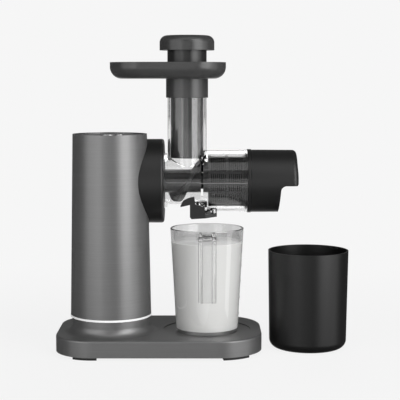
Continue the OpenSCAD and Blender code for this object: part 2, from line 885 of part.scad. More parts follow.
module gearbox_cover() {
    color("#54565a") difference() {
        union() {
            on_axis(output_axis, cover_back) cylinder(h = gearbox_plate, r = gearbox_d / 2);
            on_axis(output_axis, cover_front - bearing_len)
                cylinder(h = bearing_len, r = bearing_r + boss_wall);
        }
        on_axis(output_axis, cover_front - 10) cylinder(h = 20, r = bearing_r + run_gap);
        on_axis(axle_axis, cover_back - 1) cylinder(h = gearbox_plate, r = axle_d / 2 + run_gap);
        for (a = gearbox_screw_angles)
            on_axis(output_axis, cover_back)
                translate([gearbox_screw_r * cos(a), gearbox_screw_r * sin(a), 0]) {
                    translate([0, 0, -1]) cylinder(h = gearbox_plate + 2, r = screw_r + run_gap);
                    translate([0, 0, gearbox_plate - screw_head_h]) cylinder(h = 5, r = screw_head_r + 0.2);
                }
    }
}

module gearbox_screws() {
    color("#b9bcc0")
        for (a = gearbox_screw_angles)
            on_axis(output_axis, cover_front)
                translate([gearbox_screw_r * cos(a), gearbox_screw_r * sin(a), 0]) {
                    translate([0, 0, -screw_head_h]) cylinder(h = screw_head_h - 0.1, r = screw_head_r);
                    translate([0, 0, -screw_len - 1]) cylinder(h = screw_len, r = screw_r);
                }
}

module gear_axle() {
    color("#c4c7cb") on_axis(axle_axis, pot_back + 0.5)
        cylinder(h = cover_front - 1.2 - pot_back - 0.5, r = axle_d / 2);
}

module motor_can() {
    r = motor_d / 2;
    color("#9a9da1") on_axis(motor_axis, motor_front) rotate_extrude() {
        translate([r - motor_wall, -motor_len]) square([motor_wall, motor_len]);
        translate([motor_bearing_r + run_gap, -2.5]) square([r - motor_bearing_r - run_gap, 2.5]);
        translate([motor_bearing_r + run_gap, -bearing_len]) square([boss_wall, bearing_len]);
    }
}

module motor_end_bell() {
    r = motor_d / 2;
    color("#2b2c2f") on_axis(motor_axis, bell_back) rotate_extrude() {
        translate([r - motor_wall, 0]) square([motor_wall, bell_len]);
        square([r, 2.5]);
        translate([motor_bearing_r + run_gap, 0]) square([boss_wall, 2.5 + bearing_len]);
    }
}

module motor_magnets() {
    r = motor_d / 2 - motor_wall - 0.1;
    len = motor_len - 14;
    color("#3d3e41") on_axis(motor_axis, motor_front - 9 - len) linear_extrude(len) difference() {
        circle(r);
        circle(rotor_d / 2 + 1);
        translate([-r - 1, -8]) square([2 * r + 2, 16]);
    }
}

module motor_bearings() {
    color("#b08d4f") {
        for (x = [motor_front - bearing_len, bell_back + 2.5])
            on_axis(motor_axis, x) ring(motor_shaft_d / 2 + run_gap, motor_bearing_r, bearing_len);
    }
}

module motor_shaft() {
    back = bell_back + 2.7;
    color("#c4c7cb") on_axis(motor_axis, back)
        cylinder(h = wheel_x - 0.5 + motor_pinion_t - back, r = motor_shaft_d / 2);
}

module rotor_core() {
    slots = 9;
    len = motor_len - 11;
    color("#8a7a66") on_axis(motor_axis, motor_front - 8 - len) linear_extrude(len) difference() {
        circle(rotor_d / 2);
        circle(motor_shaft_d / 2);
        for (i = [0:slots - 1])
            rotate(i * 360 / slots) translate([rotor_d / 2 - 7, -1.2]) square([8, 2.4]);
    }
}

module motor_pinion() {
    color("#c9b27a") on_axis(motor_axis, wheel_x - 0.5) rotate(first_angle)
        gear(motor_teeth, first_module, motor_pinion_t, motor_shaft_d / 2);
}

module reduction_gear() {
    color("#d8d4c6") on_axis(axle_axis, wheel_x) {
        rotate(first_angle + 180 + 180 / wheel_teeth)
            gear(wheel_teeth, first_module, wheel_t, axle_d / 2 + run_gap);
        translate([0, 0, wheel_t]) rotate(second_angle)
            gear(pinion_teeth, second_module, output_gear_t + 2.2, axle_d / 2 + run_gap);
    }
}

module output_gear() {
    color("#b8bbbf") on_axis(output_axis, output_gear_x)
        rotate(second_angle + 180 + 180 / output_teeth)
            gear(output_teeth, second_module, output_gear_t, output_shaft_d / 2);
}

module output_shaft() {
    color("#c4c7cb") difference() {
        on_axis(output_axis, shaft_back) cylinder(h = shaft_end - shaft_back, r = output_shaft_d / 2);
        on_axis(output_axis, shaft_end - stem_in) cylinder(h = stem_in + 1, r = stem_r);
    }
}

module output_bearings() {
    color("#b7babd") {
        x_ring(output_shaft_d / 2 + run_gap, bearing_r, pot_floor - bearing_len, pot_floor);
        x_ring(output_shaft_d / 2 + run_gap, bearing_r, cover_front - bearing_len, cover_front);
    }
}

module shaft_seal() {
    color("#1f1f21")
        x_ring(output_shaft_d / 2 + run_gap, shaft_seal_r, cover_front, socket_floor);
}

module hexagon(flats, h) {
    cylinder(h = h, r = flats / 2 / cos(30), $fn = 6);
}

module drive_socket() {
    color("#9b9ea2") {
        on_axis(output_axis, shaft_end) difference() {
            cylinder(h = coupling_len, r = coupling_r);
            translate([0, 0, 0.8]) hexagon(hex_flats + 0.5, coupling_len);
        }
        on_axis(output_axis, shaft_end - stem_in + 0.5) cylinder(h = stem_in - 0.5 + eps, r = stem_r);
    }
}

// ---------------------------------------------------------------- chamber, auger and filter

module chamber_outside() {
    turned() {
        translate([0, tail_back]) square([tail_r, hub_face - slip_gap - tail_back]);
        translate([0, hub_face + slip_gap]) square([flange_r, flange_t]);
        translate([0, chamber_back]) square([narrow_d / 2, step_start - chamber_back + 1]);
        difference() {
            translate([0, step_start]) square([wide_d / 2, wide_end - step_start]);
            translate([wide_d / 2 - groove_deep, step_start + groove_in])
                square([groove_deep + 1, groove_w]);
        }
        translate([0, wide_end - rib_back]) square([wide_d / 2 + rib_out, rib_w]);
        translate([0, wide_end - lip_back]) square([wide_d / 2 + rib_out, lip_w]);
        translate([0, wide_end - 1]) square([spigot_r, spigot_len + 1]);
    }
    translate([chute_x, drive_y, drive_h]) cylinder(h = chute_h, r = chute_d / 2);
    translate([outlet_x, drive_y, outlet_bottom]) cylinder(h = 15, r = outlet_d / 2);
    translate([pin_x, pin_y, outlet_bottom]) cylinder(h = 10, r = lug_r);
}

module juicer_chamber() {
    color("#d9dde0", 0.35) difference() {
        chamber_outside();
        turned() {
            translate([0, tail_back - 1]) square([tail_r - 2.7, chamber_back - tail_back + 1]);
            translate([0, chamber_back - 1]) square([chamber_seal_r + run_gap, 10]);
            translate([0, chamber_back + back_t]) square([narrow_bore, step_end - chamber_back - back_t + 1]);
            translate([0, step_end]) square([wide_bore, wide_len + spigot_len + 1]);
        }
        translate([chute_x, drive_y, drive_h]) cylinder(h = chute_h + 1, r = chute_d / 2 - chute_wall);
        translate([outlet_x, drive_y, outlet_bottom - 1]) cylinder(h = 6, r = outlet_d / 2 - 2);
        translate([outlet_x, drive_y - outlet_d / 2 + 2, outlet_bottom + 2])
            cube([step_end - outlet_x + 1, outlet_d - 4, 4.5]);
        translate([pin_x, pin_y, outlet_bottom - 1]) cylinder(h = 5.5, r = pin_d / 2 + run_gap);
        translate([step_start + groove_in, drive_y - wide_d, drive_h - slot_h / 2])
            cube([groove_w, 2 * wide_d, slot_h]);
    }
}

module chamber_seal() {
    color("#2a2b2d")
        x_ring(auger_journal_r + run_gap, chamber_seal_r, chamber_back, chamber_back + back_t);
}

// Outer radius of the flight at x: it fills the narrow section, then the filter.
function flight_r(x) =
    x < filter_start + flight_t ? narrow_bore - flight_gap
        : min(mesh_r - mesh_t - flight_gap, narrow_bore + 2);

module flight() {
    step_deg = 10;
    end = filter_end - 2;
    rows = ceil((end - flight_start) / flight_pitch * 360 / step_deg) + 1;
    points = [for (j = [0:rows - 1])
        let (
            x = flight_start + (end - flight_start) * j / (rows - 1),
            a = -90 - (x - (chute_x - flight_shift)) * 360 / flight_pitch,
            grow = min(1, j / 4),
            r0 = core_d / 2 - 3,
            r1 = core_d / 2 + 1 + (flight_r(x) - core_d / 2 - 1) * grow
        )
        each [for (p = [[r0, flight_t * 0.7], [r1, flight_t / 2], [r1, -flight_t / 2], [r0, -flight_t * 0.7]])
            [p[0] * cos(a), p[0] * sin(a), x + p[1]]]];
    on_axis(output_axis) polyhedron(points, bar_faces(rows, 4), convexity = 10);
}

module auger() {
    color("#2c2d30") difference() {
        union() {
            turned() {
                translate([0, chamber_back - 0.3]) square([auger_journal_r, core_start - chamber_back + 1]);
                difference() {
                    translate([0, core_start]) square([core_d / 2, core_end - core_start]);
                    translate([neck_r, step_start + groove_in]) square([core_d, groove_w]);
                }
                polygon([[0, filter_start], [core_d / 2 - eps, filter_start], [core_d / 2 + 6, core_end - 4],
                         [core_d / 2 + 6, core_end], [nose_r + 4, nose_x], [0, nose_x]]);
                translate([0, nose_x - 1]) square([nose_r, spider_start + bush_len - nose_x]);
            }
            flight();
        }
        on_axis(output_axis, chamber_back - 1) cylinder(h = 23, r = 4);
    }
}

module auger_shaft() {
    back = shaft_end + 1.1;
    color("#c4c7cb") {
        on_axis(output_axis, back) hexagon(hex_flats, chamber_back - 0.3 - back);
        on_axis(output_axis, back + 1) cylinder(h = chamber_back + 20 - back, r = 4);
    }
}

module filter_frame() {
    r = filter_d / 2;
    bay = (filter_end - filter_start - 3 * filter_ring_w) / 2;
    window_w = 2 * r * sin(180 / filter_bars) - 3;
    color("#55575b") {
        difference() {
            x_ring(mesh_r, r, filter_start, filter_end + 1);
            for (row = [0, 1], i = [0:filter_bars - 1])
                on_axis(output_axis, filter_start + filter_ring_w + row * (bay + filter_ring_w))
                    rotate(i * 360 / filter_bars)
                        translate([mesh_r - 5, -window_w / 2, 0]) cube([8, window_w, bay]);
        }
        x_ring(mesh_r, collar_r, filter_end, filter_end + 2);
        x_ring(collar_r - 2, collar_r, filter_end + 1, spider_start - 1);
    }
}

module filter_mesh() {
    color("#b4b7ba") x_ring(mesh_r - mesh_t, mesh_r - 0.02, filter_start, filter_end);
}

// ---------------------------------------------------------------- end cap

// Half section of the end cap, made smaller all round by g.
module cap_section(g) {
    r = cap_d / 2 - cap_draft;
    face = cap_end - cap_bulge;
    polygon([[0, wide_end], [cap_d / 2 - g, wide_end], [r - g, face - cap_edge],
             [r - cap_edge, face - g], [r / 3, cap_end - cap_bulge / 5 - g], [0, cap_end - g]]);
    translate([r - cap_edge, face - cap_edge]) circle(cap_edge - g);
}

// Side view of what is cut away under the hood, grown by g: X to the right and Z up.
module hood_cut(g) {
    x = cap_end - hood_len - g;
    z = drive_h - hood_drop + g;
    r = hood_r + g;
    depth = cap_d / 2 + 10;
    translate([x + r, z - r]) circle(r);
    translate([x + r, z - depth]) square([hood_len + 20, depth]);
    polygon([[x, z - r], [x + r + 1, z - r], [x + r + 1, z - depth], [x - 3, z - depth]]);
}

module under_hood(g) {
    translate([0, drive_y + cap_d, 0]) rotate([90, 0, 0]) linear_extrude(2 * cap_d) hood_cut(g);
}

module end_cap() {
    seat_end = spider_start + 3;
    spider_end = spider_start + bush_len + 1;
    color("#26272a") difference() {
        union() {
            difference() {
                turned() {
                    cap_section(0);
                    translate([0, wide_end]) square([cap_rim_d / 2, cap_rim_len]);
                }
                under_hood(0);
                turned() translate([0, wide_end - 1]) square([cap_socket_r, spigot_len + 3]);
                turned() translate([0, wide_end]) square([collar_r + slip_gap, seat_end - wide_end]);
                difference() {
                    turned() intersection() {
                        cap_section(cap_wall);
                        translate([0, seat_end - 1]) square([cap_d, cap_len]);
                    }
                    under_hood(cap_wall);
                }
                translate([cap_end - hood_len + 4.5, drive_y - 14, drive_h - hood_drop - 5])
                    cube([hood_len - 9.5, 28, 12]);
            }
            intersection() {
                union() {
                    x_ring(bush_r, bush_r + 2.5, spider_start, spider_end);
                    for (a = [90, 210, 330])
                        on_axis(output_axis, spider_start + 0.3) rotate(a)
                            translate([bush_r + 1, -1.5, 0])
                                cube([cap_d / 2 - cap_wall - bush_r, 3, bush_len]);
                }
                turned() translate([0, wide_end]) square([cap_d / 2 - 1, cap_len]);
            }
        }
        on_axis(output_axis, spider_start - 1) cylinder(h = bush_len + 1, r = bush_r + run_gap);
        on_axis(output_axis, spider_start - 1) cylinder(h = bush_len + 5, r = nose_r + 1);
        turned() translate([bush_r + 3, spider_start - 1])
            square([collar_r + slip_gap - bush_r - 3, 4.3]);
    }
}

module end_cap_seal() {
    color("#2a2b2d")
        x_ring(collar_r + 0.1, cap_socket_r - 0.1, spigot_end + seal_gap, spigot_end + 1.9);
}

module auger_bush() {
    color("#b89a5c")
        x_ring(nose_r + run_gap, bush_r, spider_start, spider_start + bush_len);
}

// ---------------------------------------------------------------- drip stop

module drip_stop_plan() {
    translate([outlet_x, drive_y]) circle(stop_d / 2);
    translate([pin_x, pin_y]) circle(lug_r);
    polygon([[stop_left, drive_y], [stop_left, stop_front + 2], [stop_left + 2, stop_front],
             [stop_left + stop_wall_w, stop_front], [stop_right, pin_y - 5], [stop_right, pin_y],
             [outlet_x + stop_d / 2, drive_y]]);
}

// Front view of the wall and of the lever that rises from it, from the disc's top left corner.
module drip_stop_front() {
    polygon([[0, -stop_t], [0, stop_wall_h], [-0.42 * lever_out, stop_wall_h - 1.2],
             [-lever_out, stop_wall_h - 2.5], [-lever_out, stop_wall_h - 1],
             [-0.72 * lever_out, lever_h - 4.7], [-0.19 * lever_out, lever_h - 1.7],
             [0.47 * lever_out, lever_h], [0.56 * lever_out, stop_wall_h + 0.5],
             [stop_wall_w - 0.7, stop_wall_h - 2.7], [stop_wall_w, -stop_t]]);
}

module drip_stop() {
    low = stop_t + stop_slant;
    color("#3b3c3f") difference() {
        union() {
            intersection() {
                translate([0, 0, stop_top - low]) linear_extrude(low) drip_stop_plan();
                translate([0, drive_y + stop_d, 0]) rotate([90, 0, 0]) linear_extrude(3 * stop_d)
                    polygon([[stop_left + 2, stop_top - low], [stop_right + 1, stop_top - stop_t],
                             [stop_right + 1, stop_top], [stop_left - 1, stop_top],
                             [stop_left - 1, stop_top - low + 3], [stop_left, stop_top - low + 2]]);
            }
            translate([stop_left, stop_front + stop_wall_t, stop_top]) rotate([90, 0, 0])
                linear_extrude(stop_wall_t) drip_stop_front();
        }
        translate([pin_x, pin_y, stop_top - 20]) cylinder(h = 30, r = pin_d / 2 + run_gap);
        translate([pin_x, pin_y, stop_top - 20])
            cylinder(h = 20 - stop_t + pin_head_t + 0.5, r = pin_head_r + slip_gap);
        translate([outlet_x, drive_y, stop_top - stop_seal_t])
            cylinder(h = 3, r = stop_seal_r + run_gap);
    }
}

module drip_stop_seal() {
    color("#2a2b2d") translate([outlet_x, drive_y, stop_top - stop_seal_t])
        cylinder(h = stop_seal_t, r = stop_seal_r);
}

module drip_stop_pin() {
    color("#c4c7cb") translate([pin_x, pin_y, 0]) {
        translate([0, 0, stop_top - stop_t + 0.3]) cylinder(h = pin_head_t, r = pin_head_r);
        translate([0, 0, stop_top - stop_t + 0.5]) cylinder(h = stop_t - 0.5 + pin_in, r = pin_d / 2);
    }
}

// ---------------------------------------------------------------- hopper and pusher

module tray_slab(grow, h, e) {
    x1 = chute_x + tray_right + grow;
    x0 = x1 - tray_len - 2 * grow;
    r = tray_corner + grow;
    mirror([0, 0, 1]) translate([0, 0, -h])
        slab(x0, x1, tray_depth + 2 * grow, r, r, h, e);
}

module hopper() {
    collar_r = chute_d / 2 + slip_gap;
    color("#3a3b3e") difference() {
        union() {
            translate([0, drive_y, tray_bottom]) difference() {
                tray_slab(0, tray_h, tray_edge);
                translate([0, 0, tray_floor_t]) tray_slab(-tray_wall, tray_h, tray_edge - tray_wall);
            }
            translate([chute_x, drive_y, tray_bottom - collar_len])
                cylinder(h = collar_len + 1, r = collar_r + tray_wall - 0.6);
        }
        translate([chute_x, drive_y, tray_bottom - collar_len - 1])
            cylinder(h = collar_len - tray_wall + 1 + slip_gap, r = collar_r);
        translate([chute_x, drive_y, tray_bottom - tray_wall]) cylinder(h = 10, r = chute_d / 2 - chute_wall);
    }
}

module pusher_body() {
    bottom = tray_floor - stem_len;
    wall = 2.5;
    color("#3d3e41") translate([chute_x, drive_y, 0]) rotate_extrude() difference() {
        union() {
            translate([0, bottom]) square([stem_d / 2, stem_len + push_neck_h]);
            translate([0, tray_floor]) square([push_neck_d / 2, push_neck_h]);
        }
        translate([0, bottom + wall]) square([stem_d / 2 - wall, stem_len + push_neck_h]);
    }
}

module pusher_cap() {
    color("#323336") translate([chute_x, drive_y, push_neck_top]) rotate_extrude()
        edge_section(push_cap_d / 2, push_cap_h, push_cap_edge);
}

// ---------------------------------------------------------------- jug and cup

// Side view of the handle's web: distance in front of the jug's axis, then height.
module web_section() {
    reach = handle_reach - rail_d / 2 + web_t / 2;
    top = jug_h - rail_d / 2 + web_t / 2;
    r = rail_bend + web_t / 2;
    low = jug_h - handle_len + 1;
    difference() {
        union() {
            translate([0, top - r]) square([reach - r, r]);
            translate([0, low]) square([reach, top - r - low]);
            translate([reach - r, top - r]) circle(r);
        }
        translate([-1, top - r]) square([reach - r + 1, r - web_t]);
        translate([-1, low - 1]) square([reach - web_t + 1, top - r - low + 1]);
        translate([reach - r, top - r]) circle(r - web_t);
    }
}

// One round rail at x: forward from the rim, round the bend and down to its ball end.
module rail(x) {
    r = rail_d / 2;
    front = handle_reach - r;
    back = jug_rim_d / 2 - 6;
    translate([x, -(front - rail_bend), jug_h - r]) {
        rotate([-90, 0, 0]) cylinder(h = front - rail_bend - back, r = r);
        translate([0, 0, -rail_bend]) rotate([0, -90, 180]) rotate_extrude(angle = 90)
            translate([rail_bend, 0]) circle(r);
    }
    translate([x, -front, jug_h - handle_len + r]) {
        sphere(r);
        cylinder(h = handle_len - rail_d - rail_bend, r = r);
    }
}

module handle() {
    side = (handle_w - rail_d) / 2;
    rail(-side);
    rail(side);
    translate([-side, 0, 0]) rotate([90, 0, -90]) translate([0, 0, -2 * side])
        linear_extrude(2 * side) web_section();
}

// Half section of a filled jug, made smaller by g, from the given floor up.
module jug_half(g, floor, top) {
    grow = (jug_rim_d - jug_foot_d) / 2 / jug_h;
    polygon([[0, floor], [jug_foot_d / 2 + floor * grow - g, floor],
             [jug_foot_d / 2 + top * grow - g, top], [0, top]]);
}

module juice_jug() {
    lip = jug_wall / 2;
    color("#dfe3e6", 0.35) translate([jug_x, jug_y, jug_foot]) {
        rotate_extrude() {
            difference() {
                jug_half(0, 0, jug_h - lip);
                jug_half(jug_wall, jug_floor, jug_h);
            }
            translate([jug_rim_d / 2 - lip, jug_h - lip]) circle(lip);
        }
        difference() {
            handle();
            rotate_extrude() jug_half(lip, 0, jug_h + 1);
        }
    }
}

// Half section of the cup, made smaller by g.
module cup_section(g) {
    foot = cup_foot_d / 2 - g;
    e = cup_edge - g;
    polygon([[0, g], [foot - e, g], [foot - e, cup_edge], [foot, cup_edge],
             [cup_d / 2 - g, cup_h], [0, cup_h]]);
    translate([foot - e, cup_edge]) circle(e);
}

module pulp_cup() {
    color("#2e2f32") translate([cup_x, 0, 0]) rotate_extrude() difference() {
        cup_section(0);
        cup_section(cup_wall);
        translate([0, cup_h - eps]) square([cup_d / 2 - cup_wall, 1]);
    }
}

base_cover();
base_plate();
rubber_feet();
base_screws();
trim_ring();
tower_shell();
top_panel();
start_button();
reverse_button();
start_spring();
reverse_spring();
control_board();
button_switches();
power_board();
cord_gland();
drive_hub();
gearbox_housing();
gearbox_cover();
gearbox_screws();
gear_axle();
motor_can();
motor_end_bell();
motor_magnets();
motor_bearings();
motor_shaft();
rotor_core();
motor_pinion();
reduction_gear();
output_gear();
output_shaft();
output_bearings();
shaft_seal();
drive_socket();
juicer_chamber();
chamber_seal();
auger();
auger_shaft();
filter_frame();
filter_mesh();
end_cap();
end_cap_seal();
auger_bush();
drip_stop();
drip_stop_seal();
drip_stop_pin();
hopper();
pusher_body();
pusher_cap();
juice_jug();
pulp_cup();
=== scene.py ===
# %% [markdown]
# # A cold press juicer, from bare solids to finished surfaces
# The machine squeezes fruit with a slow screw inside a clear chamber. Juice leaves by the
# drip stop into the jug, and dry pulp leaves by the black hood at the end.
# The solids of every part come from the CAD model. This lesson gives each one its real finish,
# models the pieces that need finer work, and sets up a small studio round them.

# %% Open the frame
import json
import math

import bmesh
import bpy
from mathutils import Matrix, Vector


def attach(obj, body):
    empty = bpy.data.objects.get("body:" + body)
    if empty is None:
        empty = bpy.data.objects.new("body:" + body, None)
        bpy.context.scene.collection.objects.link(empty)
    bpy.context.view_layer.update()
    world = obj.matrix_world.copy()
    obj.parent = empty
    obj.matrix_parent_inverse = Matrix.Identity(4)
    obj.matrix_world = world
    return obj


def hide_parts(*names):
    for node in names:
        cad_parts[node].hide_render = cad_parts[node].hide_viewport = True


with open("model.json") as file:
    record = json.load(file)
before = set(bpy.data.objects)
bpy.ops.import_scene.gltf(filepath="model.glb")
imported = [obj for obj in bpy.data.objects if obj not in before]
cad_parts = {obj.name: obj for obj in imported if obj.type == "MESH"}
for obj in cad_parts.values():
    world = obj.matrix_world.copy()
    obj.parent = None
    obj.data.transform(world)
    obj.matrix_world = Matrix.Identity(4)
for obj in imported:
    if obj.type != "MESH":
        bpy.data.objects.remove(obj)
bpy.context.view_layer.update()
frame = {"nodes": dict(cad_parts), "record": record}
nodes = frame["nodes"]

# %% [markdown]
# ## Camera
# A long lens, 104 mm on a 36 mm sensor, keeps the tall tower from leaning. It stands 1.4 m in
# front of the machine, at the height of its hopper, and looks slightly down.

# %% Place the camera
MM = 0.001
LOOK_DOWN = 0.10363  # radians below level
lens = bpy.data.cameras.new("studio_camera")
lens.lens = 104.4
lens.sensor_width = 36.0
camera = bpy.data.objects.new("studio_camera", lens)
camera.location = (-3.9 * MM, -1378.6 * MM, 321.2 * MM)
camera.rotation_euler = (math.pi / 2 - LOOK_DOWN, 0, 0)
bpy.context.scene.collection.objects.link(camera)
bpy.context.scene.camera = camera
bpy.context.scene.view_settings.view_transform = "Standard"
print("camera at", tuple(round(v, 4) for v in camera.location))

# %% [markdown]
# ## Shader maths as expressions
# A finish is easier to read as a formula than as a web of wires. `Value` wraps a socket, so that
# `0.3 + mask * 0.2` adds its own Math nodes. `Wiring` adds nodes to any node tree, and `Finish` is
# the wiring of one material, which starts from a Principled shader.

# %% Value, Wiring and Finish


class Value:
    """A number that varies over a surface or round a room, with the usual operators."""

    def __init__(self, wiring, socket):
        self.wiring = wiring
        self.socket = socket

    def maths(self, operation, other=0.0):
        return self.wiring.add("ShaderNodeMath", {"operation": operation}, {0: self, 1: other})

    def __add__(self, other):
        return self.maths("ADD", other)

    __radd__ = __add__

    def __sub__(self, other):
        return self.maths("SUBTRACT", other)

    def __mul__(self, other):
        return self.maths("MULTIPLY", other)

    def __lt__(self, other):
        return self.maths("LESS_THAN", other)

    def __gt__(self, other):
        return self.maths("GREATER_THAN", other)

    def wave(self):
        return self.maths("SINE")

    def size(self):
        return self.maths("ABSOLUTE")


class Wiring:
    """A node tree under construction."""

    def __init__(self, tree):
        self.tree = tree

    def connect(self, value, socket):
        """Links a varying value to a socket, or sets a constant one."""
        if isinstance(value, Value):
            self.tree.links.new(value.socket, socket)
        elif socket.type == "RGBA":
            socket.default_value = (*value, 1.0)
        else:
            socket.default_value = value

    def add(self, kind, settings=None, inputs=None, output=0):
        """Adds a node with its settings and inputs, and returns one of its outputs."""
        node = self.tree.nodes.new(kind)
        for name, value in (settings or {}).items():
            setattr(node, name, value)
        for name, value in (inputs or {}).items():
            self.connect(value, node.inputs[name])
        return Value(self, node.outputs[output])

    def ray(self, kind):
        """1 for rays of one kind, such as Camera, and 0 for all others."""
        return self.add("ShaderNodeLightPath", output=f"Is {kind} Ray")

    def soft_step(self, along, start, end, low, high):
        """Goes softly from low to high while along goes from start to end."""
        return self.add(
            "ShaderNodeMapRange",
            {"interpolation_type": "SMOOTHSTEP"},
            {"Value": along, "From Min": start, "From Max": end, "To Min": low, "To Max": high},
        )


class Finish(Wiring):
    """A material under construction."""

    def __init__(self, name, **constants):
        self.material = bpy.data.materials.new(name)
        self.material.use_nodes = True
        super().__init__(self.material.node_tree)
        self.shader = self.tree.nodes["Principled BSDF"]
        self.set(**constants)

    def set(self, **values):
        """Gives the shader's inputs their values. Base_Color stands for Base Color."""
        for name, value in values.items():
            self.connect(value, self.shader.inputs[name.replace("_", " ")])

    def place(self):
        return self.add("ShaderNodeTexCoord", output="Object")

    def axis(self, letter):
        return self.add("ShaderNodeSeparateXYZ", inputs={0: self.place()}, output=letter)

    def stretched(self, scale):
        return self.add("ShaderNodeMapping", inputs={"Vector": self.place(), "Scale": scale})

    def noise(self, scale, detail=3.0, vector=None):
        return self.add(
            "ShaderNodeTexNoise",
            inputs={"Vector": vector or self.place(), "Scale": scale, "Detail": detail},
        )

    def between(self, mask, low, high):
        """A colour that goes from low to high with the mask."""
        factor, colour_a, colour_b, colour_result = 0, 6, 7, 2
        return self.add(
            "ShaderNodeMix",
            {"data_type": "RGBA"},
            {factor: mask, colour_a: low, colour_b: high},
            output=colour_result,
        )

    def bump(self, height, strength, distance=0.001):
        normal = self.add(
            "ShaderNodeBump", inputs={"Height": height, "Strength": strength, "Distance": distance}
        )
        self.set(Normal=normal)


def grey(level):
    """A neutral colour from a screen level of 0 to 255."""
    value = level / 255
    linear = value / 12.92 if value <= 0.04045 else ((value + 0.055) / 1.055) ** 2.4
    return (linear, linear, linear)


# %% [markdown]
# ## Finishes
# Each finish is one formula: a base colour with a slight unevenness, a roughness that wanders a
# little, and a bump at the scale of the real surface.

# %% Satin metallic paint for the housing
housing = Finish("satin_metallic_paint", Metallic=0.7, IOR=1.5)
flakes = housing.noise(2600, 2.0)
streaks = housing.noise(100, 4.0, housing.stretched((0.15, 0.15, 12)))
drift = housing.noise(9, 2.0)
housing.set(
    Base_Color=housing.between(streaks * 0.5 + drift * 0.3 + flakes * 0.2, grey(108), grey(134)),
    Roughness=0.33 + streaks * 0.08 + drift * 0.04,
)
housing.bump(flakes + streaks, 0.05, 0.0002)
print("made", housing.material.name)

# %% Moulded plastics


def moulded(name, dark, light, roughness, grain=1800, depth=0.12):
    """Fine spark-eroded grain with a slow drift in gloss, as a moulding comes from its tool."""
    plastic = Finish(name)
    fine = plastic.noise(grain, 2.0)
    slow = plastic.noise(14, 2.0)
    plastic.set(
        Base_Color=plastic.between(slow, grey(dark), grey(light)),
        Roughness=roughness + fine * 0.06 + slow * 0.05,
    )
    plastic.bump(fine, depth, 0.00015)
    return plastic.material


black = moulded("fine_grained_black", 22, 26, 0.36)
cup_black = moulded("satin_black", 10, 14, 0.32, 1500, 0.15)
hopper_grey = moulded("charcoal_grey", 56, 62, 0.22, 2200, 0.06)
# The pusher's stem, seen inside the chute, gets this darker copy of the cap's grey: painted shade.
pusher_grey = moulded("pusher_grey", 40, 46, 0.24, 2200, 0.05)
auger_black = moulded("auger_black", 24, 29, 0.28, 1200, 0.05)
filter_grey = moulded("filter_grey", 22, 28, 0.36)
stop_grey = moulded("stop_grey", 22, 27, 0.24, 1500, 0.1)
gloss = moulded("gloss_black", 26, 30, 0.09, 300, 0.01)
rubber = moulded("black_rubber", 24, 30, 0.62, 1200, 0.3)
print("made the plastics")

# %% Metals


def metal(name, level, roughness, brushed=(1, 1, 60), depth=0.04):
    """Turned or drawn metal: fine parallel scratches in colour, gloss and height."""
    finish = Finish(name, Metallic=1.0)
    scratches = finish.noise(120, 4.0, finish.stretched(brushed))
    finish.set(
        Base_Color=finish.between(scratches, grey(level - 12), grey(level + 8)),
        Roughness=roughness + scratches * 0.12,
    )
    finish.bump(scratches, depth, 0.0001)
    return finish.material


# The trim ring is polished metal, but it is painted near-white with little gloss, so that it shows
# one even band of light all round: a painted reflection.
bright = moulded("trim_ring_painted_reflection", 244, 250, 0.3, 900, 0.02)
steel = metal("turned_steel", 196, 0.22)
motor_steel = metal("pressed_steel", 168, 0.32)
alloy = metal("cast_alloy", 176, 0.44, (8, 8, 8), 0.2)
bronze = Finish("oiled_bronze", Metallic=1.0, Base_Color=(0.42, 0.24, 0.09))
bronze.set(Roughness=0.26 + bronze.noise(300) * 0.16)
silver = metal("button_silver", 208, 0.3, (1, 60, 1), 0.02)
print("made the metals")

# %% Inner workings
nylon = moulded("gear_nylon", 205, 222, 0.4, 900, 0.08)
ferrite = moulded("ferrite", 52, 62, 0.55, 900, 0.3)
board = Finish("circuit_board")
tracks = board.noise(900, 1.0, board.stretched((1, 0.15, 1)))
board.set(
    Base_Color=board.between(tracks > 0.52, (0.012, 0.09, 0.045), (0.03, 0.17, 0.08)),
    Roughness=0.26 + tracks * 0.1,
)
print("made the inner finishes")

# %% [markdown]
# ## Mesh of the filter
# The filter's mesh has rows of tiny holes round the drive axis. They are drawn by two waves, one
# along the axis and one with the angle round it.

# %% Etched mesh
DRIVE = (10.5, 200.0)  # Y and Z of the drive axis, which runs along X
mesh_steel = Finish("etched_mesh", Metallic=1.0, Roughness=0.3)
turn = mesh_steel.add(
    "ShaderNodeMath",
    {"operation": "ARCTAN2"},
    {0: mesh_steel.axis("Z") - DRIVE[1] * MM, 1: mesh_steel.axis("Y") - DRIVE[0] * MM},
)
rows = (mesh_steel.axis("X") * 2700).wave() + (turn * 90).wave() * 0.4
mesh_steel.set(Base_Color=mesh_steel.between(rows > 0.1, grey(66), grey(14)))
mesh_steel.bump(rows, 0.3, 0.0003)
print("made", mesh_steel.material.name)

# %% [markdown]
# ## Clear plastics
# Clear copolyester looks like glass, and its mould leaves a faint haze that flows along the walls.
# Both clear parts have real walls, so full transmission works. The handle stands in front of the
# jug. It is the same plastic as the body, but given a paler tint: a painted highlight for the light
# its rails catch.

# %% Clear plastics
chamber_plastic = Finish(
    "clear_chamber_plastic", Transmission_Weight=1.0, IOR=1.5, Base_Color=(0.9, 0.9, 0.9)
)
chamber_plastic.set(Roughness=0.01 + chamber_plastic.noise(60, 2.0) * 0.03)

HANDLE_START = -53.5  # the handle is all that the jug has in front of this Y
jug_plastic = Finish("clear_jug_plastic", Transmission_Weight=1.0, IOR=1.5, Coat_Weight=0.5)
# Where the handle stands, the plastic gets a paler tint than the body's: a painted highlight.
handle = jug_plastic.axis("Y") < HANDLE_START * MM
jug_plastic.set(
    Base_Color=jug_plastic.between(handle, (0.66, 0.66, 0.66), (0.86, 0.86, 0.86)),
    Roughness=0.01 + jug_plastic.noise(60, 2.0) * 0.02,
)
print("made the clear plastics")

